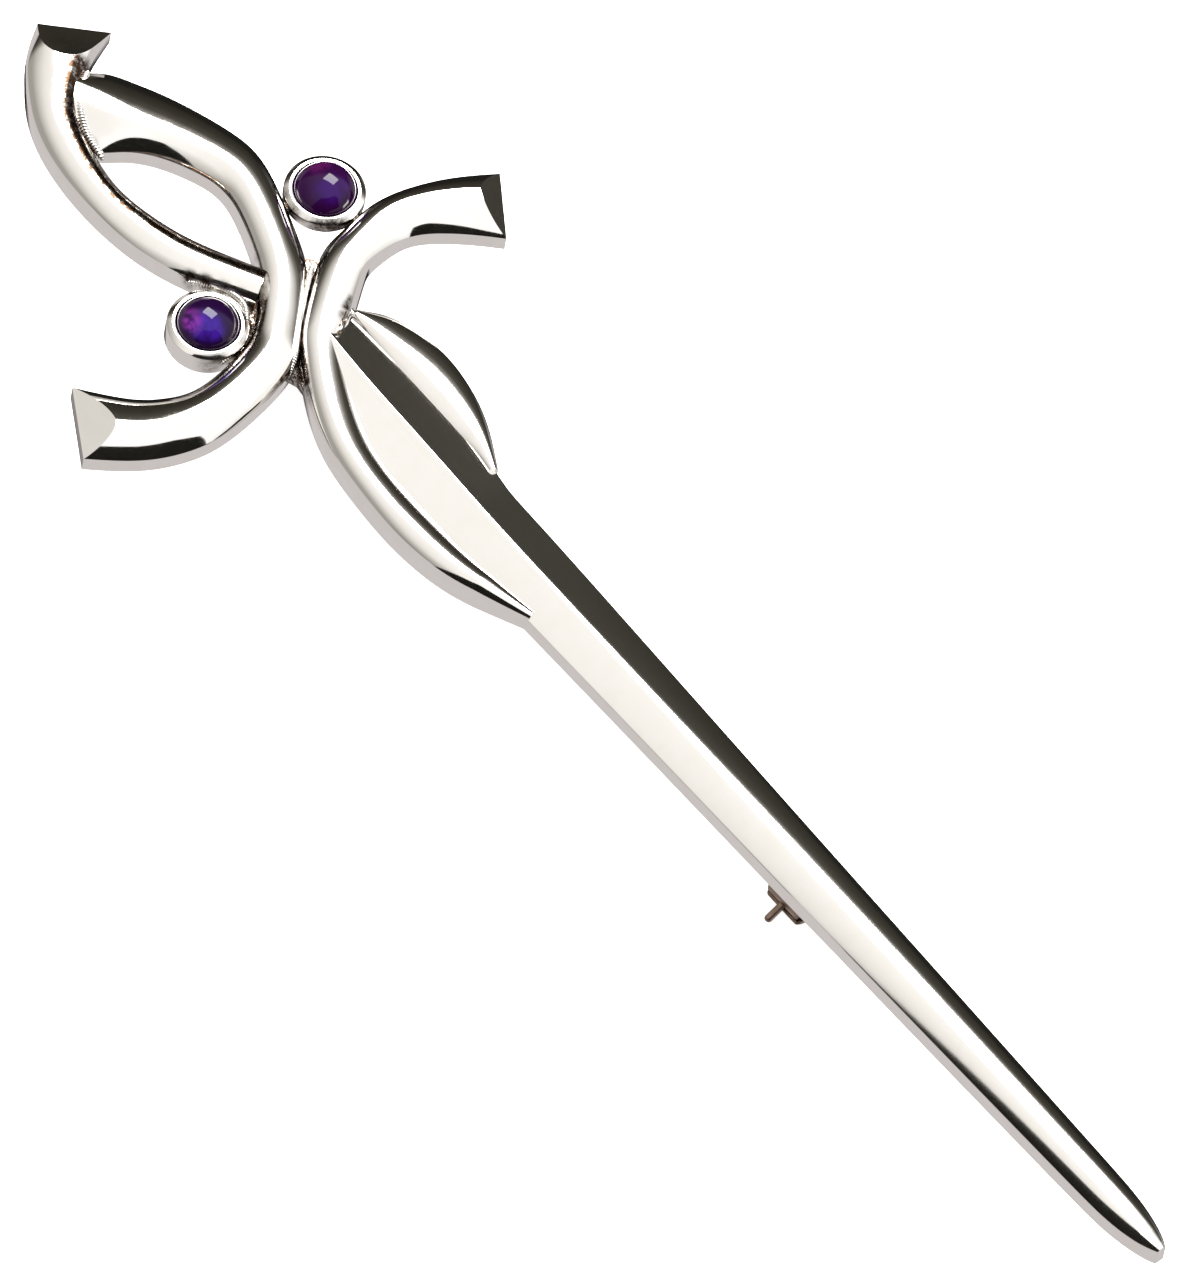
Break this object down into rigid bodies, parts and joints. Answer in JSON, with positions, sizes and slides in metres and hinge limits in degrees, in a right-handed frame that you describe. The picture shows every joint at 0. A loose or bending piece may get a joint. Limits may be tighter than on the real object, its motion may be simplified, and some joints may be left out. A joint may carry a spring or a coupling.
{
  "type": "kilt pin",
  "caption": "Sword-shaped silver kilt pin with curved bands for its hilt, round domed purple stones in cups, a straight pin and a turning safety catch behind.",
  "frame": {"origin": "under the middle of the pin's box, on the surface that it lies on with its back down", "axes": "+X along the blade towards its point, +Z out of the front, +Y towards the right arm of the guard"},
  "size_m": [0.1077, 0.0338, 0.0064],
  "materials": {
    "silver": "polished silver, tarnished brown along the solder",
    "stone": "polished dome, deep purple",
    "pin_metal": "plain drawn wire"
  },
  "bodies": {
    "brooch": {"sword_body": "silver", "stone_left": "stone", "stone_right": "stone", "pin_stem": "pin_metal"},
    "lever": {"catch_lever": "silver"}
  },
  "joints": [
    {"name": "catch_turn", "type": "hinge", "parent": "brooch", "child": "lever", "pos_m": [0.01998, 0, 0.0016], "axis": [-1, 0, 0], "range_deg": [0, 60]}
  ]
}
